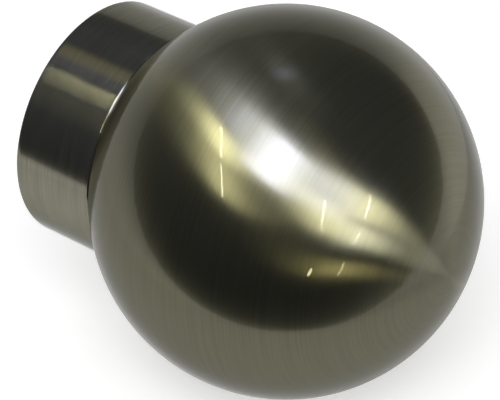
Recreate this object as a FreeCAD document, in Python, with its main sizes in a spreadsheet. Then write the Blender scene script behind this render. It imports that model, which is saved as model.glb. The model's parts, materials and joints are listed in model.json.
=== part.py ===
import FreeCAD, Part
import math
import os

import Sketcher
from FreeCAD import Vector

# Ball finial for a curtain pole: a ball and a straight collar turned as one piece, which slips over
# the end of the pole and is clamped there by a grub screw in the underside of the collar.
# The pole axis is X. The origin is where the pole's cut end seats, and the ball lies towards +X.

# Driving dimensions, in millimetres.
DIMENSIONS = {
    "pole_diameter": 20.0,
    "socket_clearance": 0.15,
    "socket_depth": 16.0,
    "collar_wall": 2.85,
    "collar_length": 9.8,
    "ball_diameter": 40.0,
    "mouth_chamfer": 0.4,
    "rim_radius": 0.2,
    "screw_diameter": 4.0,
    "thread_clearance": 0.05,
    "screw_setback": 4.9,
    "screw_recess": 0.25,
    "screw_point_chamfer": 0.6,
    "screw_drive_chamfer": 0.3,
    "key_width": 2.0,
    "key_depth": 1.4,
}

# Sizes and places that follow from the driving dimensions, as expressions on the sheet.
SOCKET_RADIUS = "sizes.pole_diameter / 2 + sizes.socket_clearance"
COLLAR_RADIUS = "sizes.pole_diameter / 2 + sizes.socket_clearance + sizes.collar_wall"
BALL_RADIUS = "sizes.ball_diameter / 2"
SEAT_TO_SCREW = "sizes.socket_depth - sizes.screw_setback"
SCREW_RADIUS = "sizes.screw_diameter / 2"
SCREW_HOLE_DIAMETER = "sizes.screw_diameter + 2 * sizes.thread_clearance"
SCREW_LENGTH = "sizes.socket_clearance + sizes.collar_wall - sizes.screw_recess"
KEY_CORNER_RADIUS = "sizes.key_width / sqrt(3)"

# Points of a sketch element, and the sketch's own axis and origin, by the numbers constraints use.
START, END, CENTRE = 1, 2, 3
X_AXIS = -1
ORIGIN = (-1, 1)

HEXAGON_SIDES = 6
FULL_TURN = 360
ALONG_POLE = Vector(1, 0, 0)
UPWARDS = Vector(0, 0, 1)

doc = FreeCAD.newDocument("curtain_pole_finial")


def fill_sheet():
    """Write one row for each driving dimension: its name, and its value under that alias."""
    sheet = doc.addObject("Spreadsheet::Sheet", "sizes")
    for row, (name, size) in enumerate(DIMENSIONS.items(), start=1):
        sheet.set(f"A{row}", name)
        sheet.set(f"B{row}", str(size))
        sheet.setAlias(f"B{row}", name)
    doc.recompute()


def value(expression):
    """Work out an expression on the sheet, so that sketches are drawn at their true size."""
    return doc.getObject("sizes").evalExpression(expression)


def new_body(name):
    """Add a body whose label is the name of its piece."""
    body = doc.addObject("PartDesign::Body", name)
    body.Label = name
    return body


def new_sketch(body, name, role):
    """Add a sketch on one of the body's own origin planes."""
    sketch = body.newObject("Sketcher::SketchObject", name)
    plane = next(item for item in body.Origin.OriginFeatures if item.Role == role)
    sketch.AttachmentSupport = [(plane, "")]
    sketch.MapMode = "FlatFace"
    return sketch


def relate(sketch, kind, *elements):
    """Add a constraint that has no size."""
    sketch.addConstraint(Sketcher.Constraint(kind, *elements))


def dimension(sketch, name, expression, kind, *elements):
    """Add a named dimension and bind it to an expression on the sheet."""
    index = sketch.addConstraint(Sketcher.Constraint(kind, *elements, value(expression)))
    sketch.renameConstraint(index, name)
    sketch.setExpression(f"Constraints.{name}", expression)


def draw_line(sketch, first, second):
    """Draw a straight side between two points."""
    return sketch.addGeometry(Part.LineSegment(first, second))


def draw_loop(sketch, corners):
    """Draw straight sides from corner to corner, joined end to end all the way round."""
    sides = [draw_line(sketch, *pair) for pair in zip(corners, corners[1:] + corners[:1])]
    for side, following in zip(sides, sides[1:] + sides[:1]):
        relate(sketch, "Coincident", side, END, following, START)
    return sides


def draw_circle(sketch, centre, radius, construction=False):
    """Draw a full circle, or a construction circle that only guides other sides."""
    return sketch.addGeometry(Part.Circle(centre, UPWARDS, radius), construction)


def round_edges(feature, axis, position):
    """Name a feature's circles centred at a position along an axis, the smallest first."""
    found = []
    for number, edge in enumerate(feature.Shape.Edges, start=1):
        if edge.Degenerated or not isinstance(edge.Curve, Part.Circle):
            continue
        if math.isclose(edge.Curve.Center.dot(axis), position, abs_tol=edge.Tolerance):
            found.append((edge.Curve.Radius, f"Edge{number}"))
    return [name for radius, name in sorted(found)]


def turn_blank(body):
    """Turn the ball and the collar, still solid, from one closed half outline."""
    sketch = new_sketch(body, "TurnedProfile", "XZ_Plane")
    collar_radius = value(COLLAR_RADIUS)
    ball_radius = value(BALL_RADIUS)
    mouth_centre = Vector(-value("sizes.socket_depth"), 0)
    mouth_edge = mouth_centre + Vector(0, collar_radius)
    corner = mouth_edge + Vector(value("sizes.collar_length"), 0)
    ball_centre = Vector(corner.x + math.sqrt(ball_radius**2 - collar_radius**2), 0)
    nose = ball_centre + Vector(ball_radius, 0)
    ball_arc = math.pi - math.asin(collar_radius / ball_radius)
    axis_line = draw_line(sketch, nose, mouth_centre)
    mouth = draw_line(sketch, mouth_centre, mouth_edge)
    collar = draw_line(sketch, mouth_edge, corner)
    ball_circle = Part.Circle(ball_centre, UPWARDS, ball_radius)
    ball = sketch.addGeometry(Part.ArcOfCircle(ball_circle, 0, ball_arc))
    relate(sketch, "Coincident", axis_line, END, mouth, START)
    relate(sketch, "Coincident", mouth, END, collar, START)
    relate(sketch, "Coincident", collar, END, ball, END)
    relate(sketch, "Coincident", ball, START, axis_line, START)
    relate(sketch, "PointOnObject", axis_line, START, X_AXIS)
    relate(sketch, "PointOnObject", axis_line, END, X_AXIS)
    relate(sketch, "PointOnObject", ball, CENTRE, X_AXIS)
    relate(sketch, "Vertical", mouth)
    relate(sketch, "Horizontal", collar)
    dimension(sketch, "seat_to_mouth", "sizes.socket_depth", "DistanceX", mouth, START, *ORIGIN)
    dimension(sketch, "collar_radius", COLLAR_RADIUS, "DistanceY", mouth, START, mouth, END)
    dimension(sketch, "collar_length", "sizes.collar_length", "DistanceX", collar, START, collar, END)
    dimension(sketch, "ball_radius", BALL_RADIUS, "Radius", ball)
    blank = body.newObject("PartDesign::Revolution", "TurnedBlank")
    blank.Profile = sketch
    blank.ReferenceAxis = (sketch, ["H_Axis"])
    blank.Angle = FULL_TURN
    doc.recompute()


def bore_socket(body):
    """Bore the blind socket for the pole, from the mouth to a flat seat."""
    sketch = new_sketch(body, "SocketProfile", "XZ_Plane")
    mouth_x = -value("sizes.socket_depth")
    wall_y = value(SOCKET_RADIUS)
    corners = [Vector(0, 0), Vector(mouth_x, 0), Vector(mouth_x, wall_y), Vector(0, wall_y)]
    axis_line, mouth, wall, seat = draw_loop(sketch, corners)
    relate(sketch, "Coincident", axis_line, START, *ORIGIN)
    relate(sketch, "Horizontal", axis_line)
    relate(sketch, "Horizontal", wall)
    relate(sketch, "Vertical", mouth)
    relate(sketch, "Vertical", seat)
    dimension(sketch, "socket_depth", "sizes.socket_depth", "DistanceX", axis_line, END, axis_line, START)
    dimension(sketch, "socket_radius", SOCKET_RADIUS, "DistanceY", mouth, START, mouth, END)
    socket = body.newObject("PartDesign::Groove", "PoleSocket")
    socket.Profile = sketch
    socket.ReferenceAxis = (sketch, ["H_Axis"])
    socket.Angle = FULL_TURN
    doc.recompute()
    return socket


def break_edges(body, socket):
    """Chamfer the mouth of the socket as a lead-in and round the collar's outer rim."""
    mouth_position = -value("sizes.socket_depth")
    lead_in = body.newObject("PartDesign::Chamfer", "LeadIn")
    lead_in.Base = (socket, round_edges(socket, ALONG_POLE, mouth_position)[:1])
    lead_in.setExpression("Size", "sizes.mouth_chamfer")
    doc.recompute()
    rim = body.newObject("PartDesign::Fillet", "OuterRim")
    rim.Base = (lead_in, round_edges(lead_in, ALONG_POLE, mouth_position)[-1:])
    rim.setExpression("Radius", "sizes.rim_radius")
    doc.recompute()


def drill_screw_hole(body):
    """Drill the grub screw's hole down through the lower wall of the collar."""
    sketch = new_sketch(body, "ScrewPosition", "XY_Plane")
    circle = draw_circle(sketch, Vector(-value(SEAT_TO_SCREW), 0), value(SCREW_HOLE_DIAMETER) / 2)
    relate(sketch, "PointOnObject", circle, CENTRE, X_AXIS)
    dimension(sketch, "seat_to_screw", SEAT_TO_SCREW, "DistanceX", circle, CENTRE, *ORIGIN)
    dimension(sketch, "hole_diameter", SCREW_HOLE_DIAMETER, "Diameter", circle)
    doc.recompute()
    hole = body.newObject("PartDesign::Hole", "ScrewHole")
    hole.Profile = sketch
    hole.DepthType = "ThroughAll"
    hole.Threaded = False
    hole.setExpression("Diameter", SCREW_HOLE_DIAMETER)
    doc.recompute()


def build_finial_body():
    """Make the ball and collar with its pole socket and screw hole."""
    body = new_body("finial_body")
    turn_blank(body)
    socket = bore_socket(body)
    break_edges(body, socket)
    drill_screw_hole(body)
    return body


def form_shank(body):
    """Make the screw's plain shank, with a flat chamfered point at 0 and its drive end above."""
    sketch = new_sketch(body, "ShankCircle", "XY_Plane")
    circle = draw_circle(sketch, Vector(0, 0), value(SCREW_RADIUS))
    relate(sketch, "Coincident", circle, CENTRE, *ORIGIN)
    dimension(sketch, "shank_radius", SCREW_RADIUS, "Radius", circle)
    shank = body.newObject("PartDesign::Pad", "Shank")
    shank.Profile = sketch
    shank.setExpression("Length", SCREW_LENGTH)
    doc.recompute()
    point = body.newObject("PartDesign::Chamfer", "FlatPoint")
    point.Base = (shank, round_edges(shank, UPWARDS, 0))
    point.setExpression("Size", "sizes.screw_point_chamfer")
    doc.recompute()
    drive_end = body.newObject("PartDesign::Chamfer", "DriveEnd")
    drive_end.Base = (point, round_edges(point, UPWARDS, value(SCREW_LENGTH)))
    drive_end.setExpression("Size", "sizes.screw_drive_chamfer")
    doc.recompute()


def cut_key_socket(body):
    """Cut the hexagon socket for the key into the drive end."""
    sketch = new_sketch(body, "KeyHexagon", "XY_Plane")
    sketch.setExpression("AttachmentOffset.Base.z", SCREW_LENGTH)
    corner_radius = value(KEY_CORNER_RADIUS)
    corner_circle = draw_circle(sketch, Vector(0, 0), corner_radius, construction=True)
    turns = [FreeCAD.Rotation(UPWARDS, FULL_TURN / HEXAGON_SIDES * step) for step in range(HEXAGON_SIDES)]
    sides = draw_loop(sketch, [turn.multVec(Vector(corner_radius, 0)) for turn in turns])
    relate(sketch, "Coincident", corner_circle, CENTRE, *ORIGIN)
    relate(sketch, "PointOnObject", sides[0], START, X_AXIS)
    for side in sides:
        relate(sketch, "PointOnObject", side, START, corner_circle)
    for side in sides[1:]:
        relate(sketch, "Equal", sides[0], side)
    dimension(sketch, "corner_radius", KEY_CORNER_RADIUS, "Radius", corner_circle)
    key_socket = body.newObject("PartDesign::Pocket", "KeySocket")
    key_socket.Profile = sketch
    key_socket.setExpression("Length", "sizes.key_depth")
    doc.recompute()


def build_grub_screw():
    """Make the set screw, pointing at the pole from below, and seat its point where the pole lies."""
    body = new_body("grub_screw")
    form_shank(body)
    cut_key_socket(body)
    drive_end_down = FreeCAD.Rotation(ALONG_POLE, FULL_TURN / 2)
    body.Placement = FreeCAD.Placement(Vector(0, 0), drive_end_down)
    body.setExpression("Placement.Base.x", f"-({SEAT_TO_SCREW})")
    body.setExpression("Placement.Base.z", "-sizes.pole_diameter / 2")
    doc.recompute()
    return body


def check_cuts(body):
    """Stop if a cut, chamfer or fillet took nothing away from the feature before it."""
    cutting = ("Groove", "Pocket", "Hole", "Chamfer", "Fillet")
    for feature in body.Group:
        if feature.TypeId.endswith(cutting) and feature.Shape.Volume >= feature.BaseFeature.Shape.Volume:
            raise RuntimeError(f"{feature.Name} cuts nothing")


def check_document(pieces):
    """Stop if an object failed to recompute, or a piece isn't one valid solid."""
    for item in doc.Objects:
        if "Invalid" in item.State or "Error" in item.State:
            raise RuntimeError(f"{item.Name} failed: {item.State}")
    for piece in pieces:
        shape = piece.Shape
        if shape.isNull() or not shape.isValid() or len(shape.Solids) != 1:
            raise RuntimeError(f"{piece.Label} is not one valid solid")


def write_parts(pieces):
    """Write each piece to a file named after it."""
    os.makedirs("parts", exist_ok=True)
    for piece in pieces:
        piece.Shape.exportStep(f"parts/{piece.Label}.step")
        box = piece.Shape.BoundBox
        lengths = f"{box.XLength:.2f} x {box.YLength:.2f} x {box.ZLength:.2f} mm"
        print(f"{piece.Label}: {lengths}, {piece.Shape.Volume:.1f} mm3")


def main():
    """Build both pieces, check them and write them."""
    fill_sheet()
    pieces = [build_finial_body(), build_grub_screw()]
    for piece in pieces:
        check_cuts(piece)
    check_document(pieces)
    write_parts(pieces)


main()
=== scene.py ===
"""Ball finial for a curtain pole: the dressed model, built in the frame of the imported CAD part.

The turned body and its grub screw are numpy surfaces that stand for the two CAD nodes. The body's
axis is X, the pole goes in from -X, and the screw comes up from -Z. Lengths are in metres, and the
fields that end in _mm are in millimetres.
"""

import json
import logging
import math
from dataclasses import dataclass, replace
from enum import Enum, IntEnum
from typing import Any, Mapping, Optional, Sequence

import bpy
import numpy as np
from mathutils import Matrix, Vector


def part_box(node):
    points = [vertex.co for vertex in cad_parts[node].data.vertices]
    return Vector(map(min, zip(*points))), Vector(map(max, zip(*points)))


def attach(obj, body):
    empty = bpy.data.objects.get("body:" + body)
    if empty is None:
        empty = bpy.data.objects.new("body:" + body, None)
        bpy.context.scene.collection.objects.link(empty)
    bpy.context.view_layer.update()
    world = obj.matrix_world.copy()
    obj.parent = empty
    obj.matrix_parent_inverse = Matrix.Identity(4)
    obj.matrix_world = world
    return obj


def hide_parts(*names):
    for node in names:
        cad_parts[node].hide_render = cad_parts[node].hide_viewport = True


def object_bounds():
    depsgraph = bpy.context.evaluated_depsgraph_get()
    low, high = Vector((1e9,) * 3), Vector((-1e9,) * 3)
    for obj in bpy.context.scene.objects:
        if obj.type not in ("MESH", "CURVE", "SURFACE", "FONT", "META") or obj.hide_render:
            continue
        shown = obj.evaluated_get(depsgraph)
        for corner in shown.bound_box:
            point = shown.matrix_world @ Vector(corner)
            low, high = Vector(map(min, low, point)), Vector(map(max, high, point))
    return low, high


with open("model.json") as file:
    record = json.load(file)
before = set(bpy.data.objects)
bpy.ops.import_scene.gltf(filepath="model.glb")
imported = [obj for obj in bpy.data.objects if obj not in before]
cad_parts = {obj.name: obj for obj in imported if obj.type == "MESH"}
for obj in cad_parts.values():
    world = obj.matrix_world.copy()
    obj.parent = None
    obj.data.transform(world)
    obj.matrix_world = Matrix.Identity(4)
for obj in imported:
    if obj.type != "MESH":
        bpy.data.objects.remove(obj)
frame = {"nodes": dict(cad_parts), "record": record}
CAD_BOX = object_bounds()

MM = 0.001
IMAGE_PX = (500, 400)
LOG = logging.getLogger("finial")
# Points that fall on the same step of this size, in metres, are sewn into one.
SEWING_STEP = 1e-7
# An edge that turns by more than this stays crisp.
CRISP_TURN = math.radians(25.0)
# The span that holds nearly all the values of a noise texture.
NOISE_SPAN = (0.32, 0.68)


class Zone(IntEnum):
    """The ways in which the body's surface was worked, as places in its list of materials."""

    COLLAR = 0
    BALL = 1
    BORED = 2


class LampTone(Enum):
    """The colours of the studio's lights."""

    WHITE = "#FFFFFF"
    COOL = "#D6DAFF"
    TUBE = "#FFFCE0"
    PALE_TUBE = "#F4F5F8"
    WARM = "#FFF3BE"


def linear(hex_colour: str) -> tuple[float, float, float, float]:
    """Turns an sRGB colour into the linear colour that the nodes take.

    Args:
        hex_colour: Six hex digits with a leading hash.

    Returns:
        Linear red, green and blue, and an alpha of 1.
    """
    levels = np.array([int(hex_colour[i : i + 2], 16) for i in (1, 3, 5)]) / 255.0
    values = np.where(levels <= 0.04045, levels / 12.92, ((levels + 0.055) / 1.055) ** 2.4)
    return (float(values[0]), float(values[1]), float(values[2]), 1.0)


def add_node(
    tree: bpy.types.NodeTree,
    kind: str,
    settings: Optional[Mapping[str, Any]] = None,
    inputs: Optional[Mapping[Any, Any]] = None,
) -> bpy.types.Node:
    """Adds a node, sets its properties, and fills or links its inputs.

    Args:
        tree: The node tree that gets the node.
        kind: The node's Blender type name.
        settings: Property values by property name.
        inputs: Input values by input name or place; an output socket is linked instead.

    Returns:
        The new node.
    """
    node = tree.nodes.new(kind)
    for name, setting in (settings or {}).items():
        setattr(node, name, setting)
    for key, item in (inputs or {}).items():
        if isinstance(item, bpy.types.NodeSocket):
            tree.links.new(item, node.inputs[key])
        else:
            node.inputs[key].default_value = item
    return node


def new_material(name: str) -> tuple[bpy.types.Material, bpy.types.NodeTree]:
    """Makes an empty node material.

    Args:
        name: The material's name.

    Returns:
        The material and its node tree, with no nodes in it.
    """
    material = bpy.data.materials.new(name)
    material.use_nodes = True
    material.node_tree.nodes.clear()
    return material, material.node_tree


@dataclass(frozen=True)
class Patch:
    """One grid of a surface.

    points holds the places, rows by columns by 3. run is how far each lies along the turned profile
    and turn its angle round the axis, which are the two directions of the surface's own map.
    cells are the corner numbers of its faces, and zone is the place of its material.
    """

    points: np.ndarray
    run: np.ndarray
    turn: np.ndarray
    cells: np.ndarray
    zone: int = 0


def grid_cells(rows: int, columns: int, closed: bool) -> np.ndarray:
    """Corner numbers of the cells of a grid, which face along column direction x row direction.

    Cell (i, j) joins points (i, j), (i, j + 1), (i + 1, j + 1) and (i + 1, j), numbered row by row.

    Args:
        rows: Rows of points.
        columns: Columns of points.
        closed: Whether the last column joins the first.

    Returns:
        One row of four point numbers for each cell, shaped rows - 1 by cells in a row by 4.
    """
    across = np.arange(columns if closed else columns - 1)
    row, column = np.meshgrid(np.arange(rows - 1), across, indexing="ij")
    following = (column + 1) % columns
    return np.stack(
        (
            row * columns + column,
            row * columns + following,
            (row + 1) * columns + following,
            (row + 1) * columns + column,
        ),
        axis=-1,
    )


def skin(name: str, patches: Sequence[Patch], materials: Sequence[bpy.types.Material]) -> bpy.types.Object:
    """Sews patches into one closed mesh with its map, its turned attribute and its materials.

    Points that coincide become one, so that seams and poles close. A cell that a pole has pinched
    loses its double corner. The map runs along the profile in U and round the axis in V.

    Args:
        name: The object's name.
        patches: The grids, whose edges coincide where they meet.
        materials: The materials that the patches' zones count.

    Returns:
        The new object, linked to the scene.
    """
    points = np.concatenate([p.points.reshape(-1, 3) for p in patches])
    run = np.concatenate([p.run.ravel() for p in patches])
    turn = np.concatenate([p.turn.ravel() for p in patches])
    starts = np.cumsum([0] + [p.run.size for p in patches[:-1]])
    cells = np.concatenate([p.cells.reshape(-1, 4) + s for p, s in zip(patches, starts)])
    zones = np.concatenate([np.full(p.cells.size // 4, int(p.zone)) for p in patches])

    steps = np.round(points / SEWING_STEP).astype(np.int64)
    _, first, sewn = np.unique(steps, axis=0, return_index=True, return_inverse=True)
    corners = sewn.reshape(-1)[cells]
    pinched_start = corners[:, 0] == corners[:, 1]
    pinched_end = corners[:, 2] == corners[:, 3]
    whole = ~(pinched_start | pinched_end)
    kept = [
        (corners[whole], cells[whole], zones[whole]),
        (corners[pinched_start][:, 1:], cells[pinched_start][:, 1:], zones[pinched_start]),
        (corners[pinched_end][:, :3], cells[pinched_end][:, :3], zones[pinched_end]),
    ]

    mesh = bpy.data.meshes.new(name)
    mesh.from_pydata(points[first].tolist(), [], [face for group in kept for face in group[0].tolist()])
    mesh.polygons.foreach_set("material_index", np.concatenate([g[2] for g in kept]).astype(np.int32))
    mesh.polygons.foreach_set("use_smooth", np.ones(len(mesh.polygons), dtype=bool))

    longest = run.max()
    places = []
    for _, source, _ in kept:
        v = turn[source] / math.tau + 0.5
        # A cell that crosses the seam has its low corners moved up by a whole turn.
        v = np.where(v.max(axis=1, keepdims=True) - v > 0.5, v + 1.0, v)
        places.append(np.stack((run[source] / longest, v), axis=-1).reshape(-1, 2))
    layer = mesh.uv_layers.new(name="turning")
    layer.uv.foreach_set("vector", np.concatenate(places).astype(np.float32).ravel())

    turned = mesh.attributes.new("turned", "FLOAT_VECTOR", "POINT")
    here = np.column_stack((run, points[:, 1], points[:, 2]))[first] / MM
    turned.data.foreach_set("vector", here.astype(np.float32).ravel())

    for material in materials:
        mesh.materials.append(material)
    mesh.update()
    mesh.set_sharp_from_angle(angle=CRISP_TURN)
    mesh.validate()
    piece = bpy.data.objects.new(name, mesh)
    bpy.context.scene.collection.objects.link(piece)
    return piece


@dataclass(frozen=True)
class BrushedAntiqueBrass:
    """Dark antique brass plate, brushed round the axis on a lathe, under a clear lacquer.

    The brush lines smear each light across themselves, the lacquer gives a thin sharp mirror over
    them, and the dark tone leaves only a little yellow in the reflections. edge_tint holds back the
    metal's brightening at grazing sight, and the ripple is the lacquer's faint unevenness.
    """

    name: str
    tone: str
    tone_worn: str
    edge_tint: str
    roughness: float
    line_mm: float
    line_length_mm: float
    line_depth_mm: float
    roughness_swing: float = 0.004
    anisotropy: float = 0.93
    lacquer: float = 0.4
    ripple_mm: float = 0.8
    ripple_depth_mm: float = 0.005

    def build(self) -> bpy.types.Material:
        """Makes the material.

        Returns:
            The node material, reading the piece's turned attribute and its turning map.
        """
        material, tree = new_material(self.name)
        turned = add_node(tree, "ShaderNodeAttribute", {"attribute_name": "turned"})
        place = turned.outputs["Vector"]
        # Real brush lines are a few hundredths of a millimetre apart; these are drawn coarser to show.
        lengthwise = 1.0 / self.line_length_mm
        line_map = add_node(
            tree, "ShaderNodeMapping", None,
            {"Vector": place, "Scale": (1.0 / self.line_mm, lengthwise, lengthwise)},
        )
        lines = add_node(
            tree, "ShaderNodeTexNoise", None,
            {"Vector": line_map.outputs[0], "Scale": 1.0, "Detail": 2.0, "Roughness": 0.5},
        )
        ripples = add_node(
            tree, "ShaderNodeTexNoise", None,
            {"Vector": place, "Scale": 1.0 / self.ripple_mm, "Detail": 0.0},
        )
        worn = add_node(
            tree, "ShaderNodeMapRange", None,
            {"Value": lines.outputs["Fac"], "From Min": NOISE_SPAN[0], "From Max": NOISE_SPAN[1]},
        )
        tone = add_node(
            tree, "ShaderNodeMix", {"data_type": "RGBA"},
            {"Factor": worn.outputs[0], 6: linear(self.tone), 7: linear(self.tone_worn)},
        )
        rough = add_node(
            tree, "ShaderNodeMapRange", None,
            {
                "Value": worn.outputs[0],
                "To Min": self.roughness - self.roughness_swing,
                "To Max": self.roughness + self.roughness_swing,
            },
        )
        brushed = add_node(
            tree, "ShaderNodeBump", None,
            {"Height": lines.outputs["Fac"], "Strength": 1.0, "Distance": self.line_depth_mm * MM},
        )
        rippled = add_node(
            tree, "ShaderNodeBump", None,
            {"Height": ripples.outputs["Fac"], "Strength": 1.0, "Distance": self.ripple_depth_mm * MM},
        )
        along = add_node(tree, "ShaderNodeTangent", {"direction_type": "UV_MAP", "uv_map": "turning"})
        shader = add_node(
            tree, "ShaderNodeBsdfPrincipled", None,
            {
                "Base Color": tone.outputs[2],
                "Metallic": 1.0,
                "Roughness": rough.outputs[0],
                "Normal": brushed.outputs[0],
                "Anisotropic": self.anisotropy,
                "Tangent": along.outputs[0],
                "Specular Tint": linear(self.edge_tint),
                "Coat Weight": self.lacquer,
                "Coat Roughness": 0.0,
                "Coat Normal": rippled.outputs[0],
            },
        )
        add_node(tree, "ShaderNodeOutputMaterial", None, {"Surface": shader.outputs[0]})
        return material


# The collar is brushed finely: its lights stay straight bands along the axis.
COLLAR_FINISH = BrushedAntiqueBrass(
    "brushed_antique_brass",
    tone="#747263",
    tone_worn="#7F7D6D",
    edge_tint="#9C9C9C",
    roughness=0.13,
    line_mm=0.32,
    line_length_mm=5.0,
    line_depth_mm=0.0006,
)
# The ball is rubbed to a satin: its lights run out into long streaks.
BALL_FINISH = BrushedAntiqueBrass(
    "satin_antique_brass",
    tone="#5F5D4A",
    tone_worn="#656350",
    edge_tint="#B0B0B0",
    roughness=0.28,
    line_mm=0.22,
    line_length_mm=12.0,
    line_depth_mm=0.00003,
)


@dataclass(frozen=True)
class BoredBrass:
    """The socket's wall and seat: the same dark plate over a bored surface, with rings from the tool."""

    tone: str = "#5C5847"
    roughness: float = 0.42
    roughness_swing: float = 0.08
    feed_mm: float = 0.25
    ring_length_mm: float = 10.0
    ring_depth_mm: float = 0.004

    def build(self) -> bpy.types.Material:
        """Makes the material.

        Returns:
            The node material, with a ring for each turn of the tool's feed.
        """
        material, tree = new_material("bored_antique_brass")
        turned = add_node(tree, "ShaderNodeAttribute", {"attribute_name": "turned"})
        lengthwise = 1.0 / self.ring_length_mm
        ring_map = add_node(
            tree, "ShaderNodeMapping", None,
            {"Vector": turned.outputs["Vector"], "Scale": (1.0 / self.feed_mm, lengthwise, lengthwise)},
        )
        rings = add_node(
            tree, "ShaderNodeTexNoise", None,
            {"Vector": ring_map.outputs[0], "Scale": 1.0, "Detail": 2.0},
        )
        ringed = add_node(
            tree, "ShaderNodeBump", None,
            {"Height": rings.outputs["Fac"], "Distance": self.ring_depth_mm * MM},
        )
        rough = add_node(
            tree, "ShaderNodeMapRange", None,
            {
                "Value": rings.outputs["Fac"],
                "To Min": self.roughness - self.roughness_swing,
                "To Max": self.roughness + self.roughness_swing,
            },
        )
        shader = add_node(
            tree, "ShaderNodeBsdfPrincipled", None,
            {
                "Base Color": linear(self.tone),
                "Metallic": 1.0,
                "Roughness": rough.outputs[0],
                "Normal": ringed.outputs[0],
            },
        )
        add_node(tree, "ShaderNodeOutputMaterial", None, {"Surface": shader.outputs[0]})
        return material


@dataclass(frozen=True)
class ZincPlatedSteel:
    """Zinc plated steel: a pale grey metal with a faint mottle in its gloss."""

    tone: str = "#9A9B9C"
    roughness: float = 0.34
    roughness_swing: float = 0.1
    mottle_mm: float = 0.5

    def build(self) -> bpy.types.Material:
        """Makes the material.

        Returns:
            The node material, with a mottled gloss.
        """
        material, tree = new_material("zinc_plated_steel")
        where = add_node(tree, "ShaderNodeTexCoord")
        mottle = add_node(
            tree, "ShaderNodeTexNoise", None,
            {"Vector": where.outputs["Object"], "Scale": 1.0 / (self.mottle_mm * MM), "Detail": 3.0},
        )
        rough = add_node(
            tree, "ShaderNodeMapRange", None,
            {
                "Value": mottle.outputs["Fac"],
                "To Min": self.roughness - self.roughness_swing,
                "To Max": self.roughness + self.roughness_swing,
            },
        )
        shader = add_node(
            tree, "ShaderNodeBsdfPrincipled", None,
            {"Base Color": linear(self.tone), "Metallic": 1.0, "Roughness": rough.outputs[0]},
        )
        add_node(tree, "ShaderNodeOutputMaterial", None, {"Surface": shader.outputs[0]})
        return material


# The CAD body's points further out than this share of the socket's depth lie on the collar.
COLLAR_SHARE = 0.7
# Places along the axis in ball radii from the ball's centre, and the brush lines' lean there in degrees.
BRUSH_LEAN = ((-1.0, 0.1, 0.4, 0.6, 0.78, 1.0), (24.0, 24.0, 13.0, 2.0, -9.0, 0.0))


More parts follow.
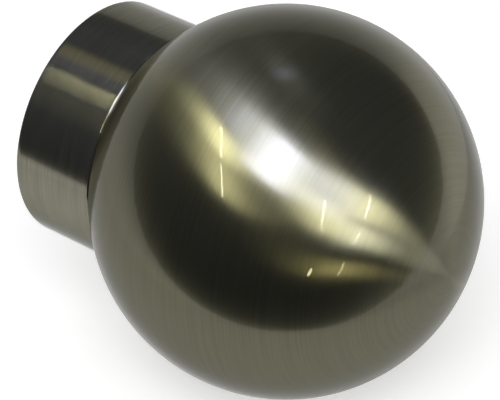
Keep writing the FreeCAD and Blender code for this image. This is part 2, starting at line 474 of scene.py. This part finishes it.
@dataclass(frozen=True)
class TurnedBody:
    """The finial's body: a ball and a collar turned in one piece, with a socket and a screw hole.

    The sizes without a value are read off the CAD nodes and the mount. The fields that end in _rows
    and columns count points along and round a surface, and a pair counts them before and after the
    hole. hole_columns are the cells from the hole's middle to the edge of the square round it.
    """

    mouth: float
    nose: float
    ball_radius: float
    collar_radius: float
    socket_radius: float
    hole_place: float
    hole_radius: float = 2.05 * MM
    mouth_chamfer: float = 0.4 * MM
    rim_radius: float = 0.2 * MM
    edge_radius: float = 0.15 * MM
    groove_depth: float = 0.08 * MM
    hole_margin: float = 2.8 * MM
    columns: int = 240
    hole_columns: int = 9
    hole_ring_rows: int = 9
    hole_wall_rows: int = 12
    seat_rows: int = 24
    socket_rows: tuple[int, int] = (16, 6)
    chamfer_rows: int = 4
    face_rows: int = 8
    round_rows: int = 7
    collar_rows: tuple[int, int] = (6, 13)
    shoulder_rows: int = 9
    ball_rows: int = 141

    @classmethod
    def from_frame(cls) -> "TurnedBody":
        """Reads the body's sizes off its CAD node, the screw and the mount.

        Returns:
            The body, with the collar's radius measured over the vertices near the mouth.
        """
        low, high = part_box("finial_body")
        screw_low, screw_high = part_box("grub_screw")
        mesh = frame["nodes"]["finial_body"].data
        places = np.empty(len(mesh.vertices) * 3)
        mesh.vertices.foreach_get("co", places)
        places = places.reshape(-1, 3)
        near = places[places[:, 0] < COLLAR_SHARE * low[0]]
        mount = frame["record"]["mounts"][0]
        return cls(
            mouth=low[0],
            nose=high[0],
            ball_radius=(high[1] - low[1]) / 2.0,
            collar_radius=float(np.hypot(near[:, 1], near[:, 2]).max()),
            socket_radius=mount["dims"]["r_mm"] * MM,
            hole_place=(screw_low[0] + screw_high[0]) / 2.0,
        )

    @property
    def ball_centre(self) -> float:
        """Place of the ball's centre on the axis."""
        return self.nose - self.ball_radius

    def lathe(self, x: np.ndarray, r: np.ndarray, run: np.ndarray, zone: Zone) -> Patch:
        """Turns a piece of profile round the axis.

        Point (i, j) is (x_i, r_i sin a_j, -r_i cos a_j), where angle a_j starts and ends at the top
        and is 0 underneath, where the screw is.

        Args:
            x: Places along the axis, in the profile's order.
            r: Radii at those places.
            run: Distance along the profile at those places.
            zone: How this surface was worked.

        Returns:
            The closed band.
        """
        turn = (np.arange(self.columns) / self.columns - 0.5) * math.tau
        points = np.stack(
            np.broadcast_arrays(x[:, None], r[:, None] * np.sin(turn), -r[:, None] * np.cos(turn)), axis=-1
        )
        run_grid, turn_grid = np.broadcast_arrays(run[:, None], turn)
        return Patch(points, run_grid, turn_grid, grid_cells(len(x), self.columns, True), zone)

    def pierced_wall(
        self, x: np.ndarray, radius: float, run_start: float, zone: Zone
    ) -> tuple[list[Patch], np.ndarray]:
        """A straight turned wall with the screw hole in it.

        The band's cells round the hole are left out, and a square ring of cells closes the gap: its
        outer edge follows the band's cells, its inner edge the line where the drill meets the wall,
        and the rows between them are spaced evenly in x and in angle.

        Args:
            x: Places along the axis; the hole's 2 * hole_columns cells are among them.
            radius: The wall's radius.
            run_start: Distance along the profile at the first place.
            zone: How this surface was worked.

        Returns:
            The band and the ring, and the ring's inner edge as an array of points.
        """
        run = run_start + np.abs(x - x[0])
        band = self.lathe(x, np.full_like(x, radius), run, zone)
        half = self.hole_columns
        middle = self.columns // 2
        first = int(np.argmin(np.abs(x - self.hole_place))) - half
        keep = np.ones(band.cells.shape[:2], dtype=bool)
        keep[first : first + 2 * half, middle - half : middle + half] = False
        band = Patch(band.points, band.run, band.turn, band.cells[keep], zone)

        # The square's edge starts at the middle of its +X side and goes round with the angle. Its place
        # on each axis is a triangle wave of the step, clipped to the square.
        whole = 8 * half
        step = np.arange(whole)
        along = np.clip(whole // 4 - np.abs((step + whole // 2) % whole - whole // 2), -half, half)
        across = np.clip(whole // 4 - np.abs((step + whole // 4) % whole - whole // 2), -half, half)
        direction = 1.0 if x[-1] > x[0] else -1.0
        rows = first + half + (direction * along).astype(int)
        edge_x = x[rows]
        edge_turn = across * math.tau / self.columns
        angle = step * math.tau / whole
        rim_x = self.hole_place + self.hole_radius * np.cos(angle)
        rim_turn = np.arcsin(self.hole_radius * np.sin(angle) / radius)
        part = np.linspace(0.0, 1.0, self.hole_ring_rows)[:, None]
        ring_x = edge_x + (rim_x - edge_x) * part
        ring_turn = edge_turn + (rim_turn - edge_turn) * part
        points = np.stack((ring_x, radius * np.sin(ring_turn), -radius * np.cos(ring_turn)), axis=-1)
        cells = grid_cells(len(part), len(step), True)
        # The collar's places run towards +X and the socket's towards -X, so their rings face opposite ways.
        if direction > 0.0:
            cells = cells[..., ::-1]
        ring = Patch(points, run_start + np.abs(ring_x - x[0]), ring_turn, cells, zone)
        return [band, ring], points[-1]

    def drilled_wall(self, outer: np.ndarray, inner: np.ndarray, run_start: float) -> Patch:
        """The screw hole's wall, ruled straight from its rim on the collar to its rim in the socket.

        Args:
            outer: Points of the rim on the collar.
            inner: Points of the rim in the socket, in the same order.
            run_start: Distance along the profile at the outer rim.

        Returns:
            The closed band.
        """
        part = np.linspace(0.0, 1.0, self.hole_wall_rows)[:, None, None]
        points = outer + (inner - outer) * part
        depth = self.collar_radius - self.socket_radius
        rows, columns = points.shape[:2]
        run = np.broadcast_to(run_start + depth * part[..., 0], (rows, columns))
        turn = np.broadcast_to((np.arange(columns) / columns - 0.5) * math.tau, (rows, columns))
        return Patch(points, run, turn, grid_cells(rows, columns, True)[..., ::-1], Zone.BORED)

    def swirl(self, sweep: np.ndarray) -> np.ndarray:
        """How far the lean of the brush lines turns the ball's map along its profile.

        The ball was brushed by hand as it turned, so its lines lean off true circles. The map turns by
        the sum of tan(lean) / sin(sweep) over the steps in sweep.

        Args:
            sweep: Angles of the profile's points, seen from the ball's centre, from the nose.

        Returns:
            The turn at each point.
        """
        lean = np.radians(np.interp(np.cos(sweep[:-1]), *BRUSH_LEAN))
        steps = np.tan(lean) / np.sin(sweep[:-1]) * np.diff(sweep)
        return np.concatenate(([0.0], steps.cumsum()))

    def build(self, materials: Sequence[bpy.types.Material]) -> bpy.types.Object:
        """Builds the body from the middle of the socket's seat, round the mouth, to the ball's nose.

        Args:
            materials: The collar's finish, the ball's and the socket's, in the order of Zone.

        Returns:
            The body's object, standing for the CAD node.
        """
        spread = 0.5 - 0.5 * np.cos(np.linspace(0.0, math.pi, self.collar_rows[1]))
        around = np.linspace(-self.hole_margin, self.hole_margin, 2 * self.hole_columns + 1)
        hole_rows = self.hole_place + around

        seat_r = np.linspace(0.0, self.socket_radius, self.seat_rows)
        chamfer_start = self.mouth + self.mouth_chamfer
        socket_x = np.concatenate(
            (
                np.linspace(0.0, hole_rows[-1], self.socket_rows[0])[:-1],
                hole_rows[::-1],
                np.linspace(hole_rows[0], chamfer_start, self.socket_rows[1])[1:],
            )
        )
        lip_r = self.socket_radius + self.mouth_chamfer
        rim_r = self.collar_radius - self.rim_radius
        chamfer_x = np.linspace(chamfer_start, self.mouth, self.chamfer_rows)
        chamfer_r = np.linspace(self.socket_radius, lip_r, self.chamfer_rows)
        face_r = np.linspace(lip_r, rim_r, self.face_rows)
        quarter = np.linspace(0.0, math.pi / 2.0, self.round_rows)
        round_r = rim_r + self.rim_radius * np.sin(quarter)
        rim_x = self.mouth + self.rim_radius * (1.0 - np.cos(quarter))

        groove_r = self.collar_radius - self.groove_depth
        opening = math.asin(groove_r / self.ball_radius)
        fall = math.acos(1.0 - self.groove_depth / self.edge_radius)
        edge_x = self.ball_centre - self.ball_radius * math.cos(opening) - self.edge_radius * math.sin(fall)
        collar_x = np.concatenate(
            (
                np.linspace(self.mouth + self.rim_radius, hole_rows[0], self.collar_rows[0])[:-1],
                hole_rows,
                hole_rows[-1] + (edge_x - hole_rows[-1]) * spread[1:],
            )
        )
        turn_down = np.linspace(0.0, fall, self.shoulder_rows)
        shoulder_x = edge_x + self.edge_radius * np.sin(turn_down)
        shoulder_r = self.collar_radius - self.edge_radius * (1.0 - np.cos(turn_down))
        sweep = np.linspace(math.pi - opening, 0.0, self.ball_rows)
        ball_x = self.ball_centre + self.ball_radius * np.cos(sweep)
        ball_r = self.ball_radius * np.sin(sweep)
        ball_r[-1] = 0.0

        patches: list[Patch] = []
        run = 0.0

        def add(x: np.ndarray, r: np.ndarray, zone: Zone) -> float:
            """Adds a turned band and returns the run at its end."""
            steps = np.concatenate(([0.0], np.hypot(np.diff(x), np.diff(r)).cumsum())) + run
            patches.append(self.lathe(x, r, steps, zone))
            return float(steps[-1])

        run = add(np.zeros_like(seat_r), seat_r, Zone.BORED)
        wall, inner_rim = self.pierced_wall(socket_x, self.socket_radius, run, Zone.BORED)
        patches.extend(wall)
        run += abs(socket_x[-1] - socket_x[0])
        run = add(chamfer_x, chamfer_r, Zone.BORED)
        run = add(np.full_like(face_r, self.mouth), face_r, Zone.COLLAR)
        run = add(rim_x, round_r, Zone.COLLAR)
        wall, outer_rim = self.pierced_wall(collar_x, self.collar_radius, run, Zone.COLLAR)
        patches.extend(wall)
        run += abs(collar_x[-1] - collar_x[0])
        run = add(shoulder_x, shoulder_r, Zone.COLLAR)
        run = add(ball_x, ball_r, Zone.BALL)
        patches[-1] = replace(patches[-1], turn=patches[-1].turn + self.swirl(sweep)[:, None])
        patches.append(self.drilled_wall(outer_rim, inner_rim, run))
        body = skin("turned_body", patches, materials)
        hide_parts("finial_body")
        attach(body, "root")
        return body


@dataclass(frozen=True)
class GrubScrew:
    """The M4 grub screw under the collar, with a flat point above and a hexagon socket below.

    flank_slope is how steeply the thread falls from crest to root: 1 leaves them sharp, and more makes
    them flat. The fields that end in _rows and columns count points along and round a surface.
    """

    axis_x: float
    top: float
    bottom: float
    radius: float
    pitch: float = 0.7 * MM
    thread_depth: float = 0.38 * MM
    point_chamfer: float = 0.6 * MM
    drive_chamfer: float = 0.3 * MM
    key_width: float = 2.0 * MM
    key_depth: float = 1.4 * MM
    flank_slope: float = 1.3
    columns: int = 96
    shank_rows: int = 61
    face_rows: int = 5
    key_rows: int = 7

    @classmethod
    def from_frame(cls) -> "GrubScrew":
        """Reads the screw's place and size off its CAD node."""
        low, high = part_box("grub_screw")
        return cls((low[0] + high[0]) / 2.0, high[2], low[2], (high[0] - low[0]) / 2.0)

    def build(self, material: bpy.types.Material) -> bpy.types.Object:
        """Builds the screw as one grid, from the middle of its point to the bottom of its key socket.

        Each row is a ring round the Z axis. On the shank the radius falls from the crest by a
        clipped triangle wave of z / pitch - angle / turn, held under the two chamfers. In the drive end
        a hexagon's radius is half the key width over the cosine of the angle from the nearest flat.

        Args:
            material: The screw's finish.

        Returns:
            The screw's object, standing for the CAD node.
        """
        angle = np.arange(self.columns) * math.tau / self.columns
        shank_z = np.linspace(self.top, self.bottom, self.shank_rows)[:, None]
        wave = np.abs(((shank_z / self.pitch - angle / math.tau) % 1.0) * 2.0 - 1.0)
        groove = np.clip(0.5 + self.flank_slope * (0.5 - wave), 0.0, 1.0)
        threaded = self.radius - self.thread_depth * groove
        point_limit = self.radius - self.point_chamfer + (self.top - shank_z)
        drive_limit = self.radius - self.drive_chamfer + (shank_z - self.bottom)
        shank_r = np.minimum(threaded, np.minimum(point_limit, drive_limit))
        flat = math.pi / 6.0
        hexagon = self.key_width / 2.0 / np.cos((angle % (2.0 * flat)) - flat)

        part = np.linspace(0.0, 1.0, self.face_rows + 1)[:, None]
        point_r = shank_r[0] * part[:-1]
        face_r = shank_r[-1] + (hexagon - shank_r[-1]) * part[1:]
        wall_z = self.bottom + self.key_depth * np.linspace(0.0, 1.0, self.key_rows + 1)[1:, None]
        wall_r = np.broadcast_to(hexagon, (self.key_rows, self.columns))
        floor_r = hexagon * part[-2::-1]

        radii = np.concatenate((point_r, shank_r, face_r, wall_r, floor_r))
        point_z = np.full_like(part[1:], self.top)
        face_z = np.full_like(part[1:], self.bottom)
        floor_z = np.full_like(part[1:], self.bottom + self.key_depth)
        heights = np.concatenate((point_z, shank_z, face_z, wall_z, floor_z))
        x, y = self.axis_x + radii * np.cos(angle), -radii * np.sin(angle)
        points = np.stack(np.broadcast_arrays(x, y, heights), axis=-1)
        run = np.broadcast_to(np.linspace(0.0, 1.0, len(radii))[:, None], radii.shape)
        turn = np.broadcast_to(angle - math.pi, radii.shape)
        patch = Patch(points, run * MM, turn, grid_cells(len(radii), self.columns, True))
        screw = skin("threaded_grub_screw", [patch], [material])
        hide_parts("grub_screw")
        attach(screw, "root")
        return screw


def bearing(longitude: float, latitude: float) -> Vector:
    """The direction at a longitude from +X towards +Y and a latitude above the floor.

    Args:
        longitude: Degrees.
        latitude: Degrees.

    Returns:
        The direction as a unit vector.
    """
    lon, lat = math.radians(longitude), math.radians(latitude)
    return Vector((math.cos(lat) * math.cos(lon), math.cos(lat) * math.sin(lon), math.sin(lat)))


@dataclass(frozen=True)
class StudioLamp:
    """A flat lamp that faces the ball, from one bearing to another.

    start and end are the bearings of its two ends in degrees, as longitude and latitude. radiance is
    its brightness, where a white floor in full light is 1. soft_edges are the shares of its length and
    width over which it fades at each edge, as a softbox does.
    """

    name: str
    start: tuple[float, float]
    end: tuple[float, float]
    width: float
    radiance: float
    tone: LampTone = LampTone.WHITE
    soft_edges: tuple[float, float] = (0.01, 0.01)
    lights_floor: bool = False
    in_reflections: bool = True
    distance: float = 1.0

    def placing(self, target: Vector) -> tuple[Matrix, float]:
        """Works out where the lamp stands.

        Args:
            target: The point that it faces.

        Returns:
            Its matrix, with X along it and Z away from the target, and its length.
        """
        one = bearing(*self.start) * self.distance
        two = bearing(*self.end) * self.distance
        middle = (one + two) / 2.0
        away = middle.normalized()
        along = (two - one) - (two - one).project(away)
        length = along.length
        along.normalize()
        turned = Matrix((along, away.cross(along), away)).transposed().to_4x4()
        return Matrix.Translation(target + middle) @ turned, length

    def fade(
        self, tree: bpy.types.NodeTree, where: bpy.types.NodeSocket
    ) -> tuple[bpy.types.NodeSocket, bpy.types.NodeSocket]:
        """Adds the nodes that let the lamp fade towards its edges.

        Args:
            tree: The lamp's node tree.
            where: The place on the lamp, from 0 to 1 along and across it.

        Returns:
            The sockets of the level, 1 in the middle, and of the distance from the middle line.
        """
        place = add_node(tree, "ShaderNodeSeparateXYZ", None, {0: where})
        fades = []
        for axis, edge in zip("XY", self.soft_edges):
            shifted = add_node(
                tree, "ShaderNodeMath", {"operation": "SUBTRACT"}, {0: place.outputs[axis], 1: 0.5}
            )
            off_centre = add_node(
                tree, "ShaderNodeMath", {"operation": "ABSOLUTE"}, {0: shifted.outputs[0]}
            )
            ramp = add_node(
                tree, "ShaderNodeMapRange", {"interpolation_type": "SMOOTHSTEP"},
                {
                    "Value": off_centre.outputs[0],
                    "From Min": 0.5 - edge,
                    "From Max": 0.5,
                    "To Min": 1.0,
                    "To Max": 0.0,
                },
            )
            fades.append(ramp.outputs[0])
        level = add_node(tree, "ShaderNodeMath", {"operation": "MULTIPLY"}, {0: fades[0], 1: fades[1]})
        return level.outputs[0], off_centre.outputs[0]

    def build(self, target: Vector) -> bpy.types.Object:
        """Makes the lamp.

        Args:
            target: The point that it faces.

        Returns:
            The lamp's object.
        """
        place, length = self.placing(target)
        light = bpy.data.lights.new(self.name, "AREA")
        light.shape = "RECTANGLE"
        light.size = length
        light.size_y = self.width
        light.color = linear(self.tone.value)[:3]
        # A flat lamp's power is its radiance times its area times pi.
        light.energy = self.radiance * math.pi * length * self.width
        light.use_nodes = True
        light.node_tree.nodes.clear()
        where = add_node(light.node_tree, "ShaderNodeNewGeometry")
        level, _ = self.fade(light.node_tree, where.outputs["Parametric"])
        glow = add_node(light.node_tree, "ShaderNodeEmission", None, {"Strength": level})
        add_node(light.node_tree, "ShaderNodeOutputLight", None, {"Surface": glow.outputs[0]})
        lamp = bpy.data.objects.new(self.name, light)
        lamp.matrix_world = place
        lamp.visible_camera = False
        lamp.visible_diffuse = self.lights_floor
        lamp.visible_glossy = self.in_reflections
        bpy.context.scene.collection.objects.link(lamp)
        return lamp


@dataclass(frozen=True)
class TubeFitting(StudioLamp):
    """A tube in its pale fitting, as a glowing card.

    A mirror shows the bare tube as a thin line: core is its share of the width, core_edge the share
    over which it ends, and core_radiance its brightness. Brushed metal takes in the glow of the whole
    fitting, of brightness radiance.
    """

    soft_edges: tuple[float, float] = (0.03, 0.5)
    core: float = 0.12
    core_edge: float = 0.001
    core_radiance: float = 40.0

    def build(self, target: Vector) -> bpy.types.Object:
        """Makes the card, a flat grid with its middle line along the tube.

        Args:
            target: The point that it faces.

        Returns:
            The card's object.
        """
        place, length = self.placing(target)
        along = np.array([-0.5, 0.5])[:, None]
        across = np.array([-0.5, 0.0, 0.5])
        flat = np.stack(np.broadcast_arrays(along * length, across * self.width, 0.0, 1.0), axis=-1)
        points = (flat @ np.array(place).T)[..., :3]
        run, turn = np.broadcast_arrays(along + 0.5, across * math.tau)
        material, tree = new_material(self.name)
        where = add_node(tree, "ShaderNodeUVMap", {"uv_map": "turning"})
        level, off_centre = self.fade(tree, where.outputs[0])
        bare = add_node(
            tree, "ShaderNodeMapRange", {"interpolation_type": "STEPPED"},
            {
                "Value": off_centre,
                "From Min": self.core / 2.0,
                "From Max": self.core / 2.0 + self.core_edge,
                "To Min": self.core_radiance,
                "To Max": 0.0,
                "Steps": 1.0,
            },
        )
        fitting = add_node(
            tree, "ShaderNodeMath", {"operation": "MULTIPLY"}, {0: level, 1: self.radiance}
        )
        path = add_node(tree, "ShaderNodeLightPath")
        shown = add_node(
            tree, "ShaderNodeMix", {"data_type": "FLOAT"},
            {"Factor": path.outputs["Is Singular Ray"], 2: fitting.outputs[0], 3: bare.outputs[0]},
        )
        glow = add_node(
            tree, "ShaderNodeEmission", None,
            {"Color": linear(self.tone.value), "Strength": shown.outputs[0]},
        )
        add_node(tree, "ShaderNodeOutputMaterial", None, {"Surface": glow.outputs[0]})
        cells = grid_cells(len(along), len(across), False)
        card = skin(self.name, [Patch(points, run, turn, cells)], [material])
        card.visible_camera = False
        card.visible_diffuse = False
        card.visible_shadow = False
        return card


@dataclass(frozen=True)
class PhotoCamera:
    """The camera, at the photograph's angle and distance.

    ball_px is the ball's centre in the photograph, in pixels from its upper left corner.
    """

    azimuth: float = 38.34
    elevation: float = 35.218
    lens_mm: float = 184.1
    sensor_mm: float = 36.0
    distance: float = 258.68 * MM
    ball_px: tuple[float, float] = (285.96, 201.58)
    clip: tuple[float, float] = (0.01, 20.0)

    @property
    def axes(self) -> tuple[Vector, Vector, Vector]:
        """The camera's right, up and backward directions."""
        a, e = math.radians(self.azimuth), math.radians(self.elevation)
        back = Vector((math.sin(a) * math.cos(e), -math.cos(a) * math.cos(e), math.sin(e)))
        right = Vector((math.cos(a), math.sin(a), 0.0))
        return right, back.cross(right), back

    def build(self, ball_centre: Vector) -> bpy.types.Object:
        """Makes the camera, placed so that the ball's centre falls on ball_px.

        Args:
            ball_centre: The ball's centre.

        Returns:
            The camera's object, set as the scene's camera.
        """
        right, up, back = self.axes
        per_px = self.distance * self.sensor_mm / self.lens_mm / IMAGE_PX[0]
        sideways = (self.ball_px[0] - IMAGE_PX[0] / 2.0) * per_px
        upwards = (IMAGE_PX[1] / 2.0 - self.ball_px[1]) * per_px
        data = bpy.data.cameras.new("photo_camera")
        data.lens = self.lens_mm
        data.sensor_width = self.sensor_mm
        data.sensor_fit = "HORIZONTAL"
        data.clip_start, data.clip_end = self.clip
        camera = bpy.data.objects.new("photo_camera", data)
        place = ball_centre - right * sideways - up * upwards + back * self.distance
        camera.matrix_world = Matrix.Translation(place) @ Matrix((right, up, back)).transposed().to_4x4()
        bpy.context.scene.collection.objects.link(camera)
        bpy.context.scene.camera = camera
        return camera


@dataclass(frozen=True)
class Studio:
    """The pale floor, the light round it, and the lamps.

    The floor is matt white paper. floor_fade are the shares of its radius between which it fades to
    plain white, floor_lift is a glow that keeps its shadow pale, and floor_front_level is that white's
    brightness in reflections. In reflections a white sheet also fills the side away from the bearing
    sheet_up, as far as sheet_edge, the cosine from that bearing. Over sheet_heights, the sines of
    heights above the horizon, it goes from sheet_level to sheet_far_level, and sheet_slant makes it
    brighter on the camera's right. Above it is a dim room, from room_low to room_high over
    room_heights. ambient is the light that reaches the paper from all round.
    """

    floor_level: float
    floor_radius: float = 90.0 * MM
    floor_shift: float = 50.0 * MM
    floor_rows: int = 25
    floor_columns: int = 96
    floor_fade: tuple[float, float] = (0.55, 0.97)
    floor_tone: str = "#E6E6E6"
    floor_tone_pale: str = "#EAEAEA"
    floor_grain_mm: float = 1.111
    floor_roughness: float = 0.9
    floor_gloss: float = 0.1
    floor_lift: float = 0.5
    floor_front_level: float = 0.92
    sheet_up: tuple[float, float] = (-50.0, 53.0)
    sheet_edge: float = -0.13
    sheet_softness: float = 0.01
    sheet_heights: tuple[float, float] = (-0.1, 0.45)
    sheet_level: float = 1.2
    sheet_far_level: float = 0.48
    sheet_slant: float = 0.2
    room_heights: tuple[float, float] = (-0.3, 1.0)
    room_low: float = 0.09
    room_high: float = 0.24
    room_tone: str = "#D8DEEE"
    ambient: float = 0.35
    lamps: tuple[StudioLamp, ...] = (
        StudioLamp("key_softbox", (-108.0, 62.2), (-37.5, 42.0), 0.47, 19.0, LampTone.COOL, (0.45, 0.15)),
        StudioLamp("key_upper_edge", (-110.0, 75.0), (-27.0, 53.5), 0.20, 5.0, LampTone.COOL, (0.5, 0.5)),
        StudioLamp("key_left_end", (-90.0, 65.0), (-163.0, 59.0), 0.34, 4.6, LampTone.COOL, (0.5, 0.3)),
        StudioLamp("key_right_end", (-48.0, 50.0), (-3.0, 14.0), 0.5, 6.5, LampTone.COOL, (0.5, 0.3)),
        TubeFitting("left_tube_far", (-134.0, 56.0), (-110.5, 46.8), 0.12, 62.0, LampTone.TUBE),
        TubeFitting("left_tube_near", (-107.5, 44.8), (-95.0, 30.0), 0.12, 35.0, LampTone.TUBE),
        TubeFitting("right_tube", (-26.5, 33.0), (-32.5, 17.0), 0.12, 44.0, LampTone.TUBE),
        TubeFitting("far_right_tube", (3.0, 26.0), (-6.0, 15.4), 0.12, 61.0, LampTone.TUBE),
        TubeFitting("far_right_tube_near", (-8.5, 12.8), (-16.0, 5.0), 0.12, 72.0, LampTone.PALE_TUBE),
        TubeFitting("low_tube", (-39.0, -3.0), (-41.0, -7.0), 0.12, 7.0, LampTone.WARM),
        TubeFitting("low_right_tube", (-21.0, -3.0), (-25.0, -9.5), 0.12, 24.0, LampTone.WARM),
        StudioLamp("ceiling_spot", (-158.0, 53.0), (172.0, 54.5), 0.14, 0.5, LampTone.WARM, (0.4, 0.4)),
        StudioLamp("ceiling_glow", (108.0, 66.0), (152.0, 66.0), 0.25, 2.5, LampTone.COOL, (0.5, 0.5)),
        StudioLamp(
            "floor_light", (-90.0, 48.0), (-30.0, 48.0), 0.6, 4.2, lights_floor=True, in_reflections=False
        ),
    )

    def build_floor(self, camera: PhotoCamera, centre: Vector) -> bpy.types.Object:
        """Makes the floor as a round sheet that fades into the white round it.

        Point (i, j) lies at radius r_i and angle a_j from the sheet's middle, which is moved away from
        the camera, so that its front edge stays out of the ball's dark reflection.

        Args:
            camera: The camera, away from which the sheet is moved.
            centre: The ball's centre.

        Returns:
            The floor's object.
        """
        back = camera.axes[2]
        away = -Vector((back.x, back.y, 0.0)).normalized() * self.floor_shift
        middle = (centre.x + away.x, centre.y + away.y)
        radii = np.linspace(0.0, self.floor_radius, self.floor_rows)[:, None]
        angles = np.arange(self.floor_columns) * math.tau / self.floor_columns
        x, y = middle[0] + radii * np.cos(angles), middle[1] + radii * np.sin(angles)
        points = np.stack(np.broadcast_arrays(x, y, self.floor_level), axis=-1)
        run = np.broadcast_to(radii, points.shape[:2])
        turn = np.broadcast_to(angles - math.pi, points.shape[:2])
        cells = grid_cells(self.floor_rows, self.floor_columns, True)[..., ::-1]
        material, tree = new_material("matt_white_paper")
        place = add_node(tree, "ShaderNodeAttribute", {"attribute_name": "turned"})
        reach = add_node(tree, "ShaderNodeSeparateXYZ", None, {0: place.outputs["Vector"]})
        fade = add_node(
            tree, "ShaderNodeMapRange", {"interpolation_type": "SMOOTHSTEP"},
            {
                "Value": reach.outputs["X"],
                "From Min": self.floor_fade[0] * self.floor_radius / MM,
                "From Max": self.floor_fade[1] * self.floor_radius / MM,
            },
        )
        where = add_node(tree, "ShaderNodeTexCoord")
        grain = add_node(
            tree, "ShaderNodeTexNoise", None,
            {"Vector": where.outputs["Object"], "Scale": 1.0 / (self.floor_grain_mm * MM), "Detail": 2.0},
        )
        tone = add_node(
            tree, "ShaderNodeMix", {"data_type": "RGBA"},
            {
                "Factor": grain.outputs["Fac"],
                6: linear(self.floor_tone),
                7: linear(self.floor_tone_pale),
            },
        )
        paper = add_node(
            tree, "ShaderNodeBsdfPrincipled", None,
            {
                "Base Color": tone.outputs[2],
                "Roughness": self.floor_roughness,
                "Specular IOR Level": self.floor_gloss,
            },
        )
        path = add_node(tree, "ShaderNodeLightPath")
        seen = add_node(
            tree, "ShaderNodeMath", {"operation": "MAXIMUM"},
            {0: path.outputs["Is Camera Ray"], 1: path.outputs["Is Glossy Ray"]},
        )
        lift = add_node(
            tree, "ShaderNodeMath", {"operation": "MULTIPLY"},
            {0: seen.outputs[0], 1: self.floor_lift},
        )
        lifted = add_node(tree, "ShaderNodeEmission", None, {"Strength": lift.outputs[0]})
        sheet = add_node(tree, "ShaderNodeAddShader", None, {0: paper.outputs[0], 1: lifted.outputs[0]})
        front = add_node(
            tree, "ShaderNodeMapRange", None,
            {"Value": path.outputs["Is Camera Ray"], "To Min": self.floor_front_level, "To Max": 1.0},
        )
        white = add_node(tree, "ShaderNodeEmission", None, {"Strength": front.outputs[0]})
        faded = add_node(
            tree, "ShaderNodeMixShader", None,
            {0: fade.outputs[0], 1: sheet.outputs[0], 2: white.outputs[0]},
        )
        add_node(tree, "ShaderNodeOutputMaterial", None, {"Surface": faded.outputs[0]})
        floor = skin("floor", [Patch(points, run, turn, cells)], [material])
        return floor

    def build_world(self, camera: PhotoCamera) -> None:
        """Makes the world: white to the camera, and a white sheet under a dim room in reflections.

        Args:
            camera: The camera, towards whose right the sheet is a little brighter.
        """
        world = bpy.data.worlds.new("studio")
        bpy.context.scene.world = world
        world.use_nodes = True
        tree = world.node_tree
        tree.nodes.clear()
        where = add_node(tree, "ShaderNodeTexCoord")
        facing = add_node(
            tree, "ShaderNodeVectorMath", {"operation": "DOT_PRODUCT"},
            {0: where.outputs["Generated"], 1: bearing(*self.sheet_up)},
        )
        on_sheet = add_node(
            tree, "ShaderNodeMapRange", {"interpolation_type": "SMOOTHSTEP"},
            {
                "Value": facing.outputs["Value"],
                "From Min": self.sheet_edge - self.sheet_softness,
                "From Max": self.sheet_edge + self.sheet_softness,
                "To Min": 1.0,
                "To Max": 0.0,
            },
        )
        sight = add_node(tree, "ShaderNodeSeparateXYZ", None, {0: where.outputs["Generated"]})
        sheet = add_node(
            tree, "ShaderNodeMapRange", None,
            {
                "Value": sight.outputs["Z"],
                "From Min": self.sheet_heights[0],
                "From Max": self.sheet_heights[1],
                "To Min": self.sheet_level,
                "To Max": self.sheet_far_level,
            },
        )
        slant = add_node(
            tree, "ShaderNodeVectorMath", {"operation": "DOT_PRODUCT"},
            {0: where.outputs["Generated"], 1: camera.axes[0] * self.sheet_slant},
        )
        slanted = add_node(
            tree, "ShaderNodeMath", {"operation": "MULTIPLY_ADD"},
            {0: sheet.outputs[0], 1: slant.outputs["Value"], 2: sheet.outputs[0]},
        )
        room = add_node(
            tree, "ShaderNodeMapRange", None,
            {
                "Value": sight.outputs["Z"],
                "From Min": self.room_heights[0],
                "From Max": self.room_heights[1],
                "To Min": self.room_low,
                "To Max": self.room_high,
            },
        )
        room_light = add_node(
            tree, "ShaderNodeMix", {"data_type": "RGBA", "blend_type": "MULTIPLY"},
            {"Factor": 1.0, 6: linear(self.room_tone), 7: room.outputs[0]},
        )
        mirrored = add_node(
            tree, "ShaderNodeMix", {"data_type": "RGBA"},
            {"Factor": on_sheet.outputs[0], 6: room_light.outputs[2], 7: slanted.outputs[0]},
        )
        path = add_node(tree, "ShaderNodeLightPath")
        seen = add_node(
            tree, "ShaderNodeMath", {"operation": "MAXIMUM"},
            {0: path.outputs["Is Glossy Ray"], 1: path.outputs["Is Transmission Ray"]},
        )
        around = add_node(
            tree, "ShaderNodeMix", {"data_type": "RGBA"},
            {
                "Factor": seen.outputs[0],
                6: (self.ambient, self.ambient, self.ambient, 1.0),
                7: mirrored.outputs[2],
            },
        )
        colour = add_node(
            tree, "ShaderNodeMix", {"data_type": "RGBA"},
            {"Factor": path.outputs["Is Camera Ray"], 6: around.outputs[2], 7: linear(LampTone.WHITE.value)},
        )
        sky = add_node(tree, "ShaderNodeBackground", None, {"Color": colour.outputs[2], "Strength": 1.0})
        add_node(tree, "ShaderNodeOutputWorld", None, {"Surface": sky.outputs[0]})


def main() -> None:
    """Builds the camera, the pieces and the studio."""
    logging.basicConfig(level=logging.INFO, format="%(name)s: %(message)s")
    bpy.context.scene.view_settings.view_transform = "Standard"
    body = TurnedBody.from_frame()
    centre = Vector((body.ball_centre, 0.0, 0.0))
    camera = PhotoCamera()
    camera.build(centre)

    materials = [COLLAR_FINISH.build(), BALL_FINISH.build(), BoredBrass().build()]
    for piece in (body.build(materials), GrubScrew.from_frame().build(ZincPlatedSteel().build())):
        LOG.info("%s: %d faces", piece.name, len(piece.data.polygons))

    studio = Studio(floor_level=CAD_BOX[0].z)
    studio.build_floor(camera, centre)
    studio.build_world(camera)
    for lamp in studio.lamps:
        lamp.build(centre)


if __name__ == "__main__":
    main()
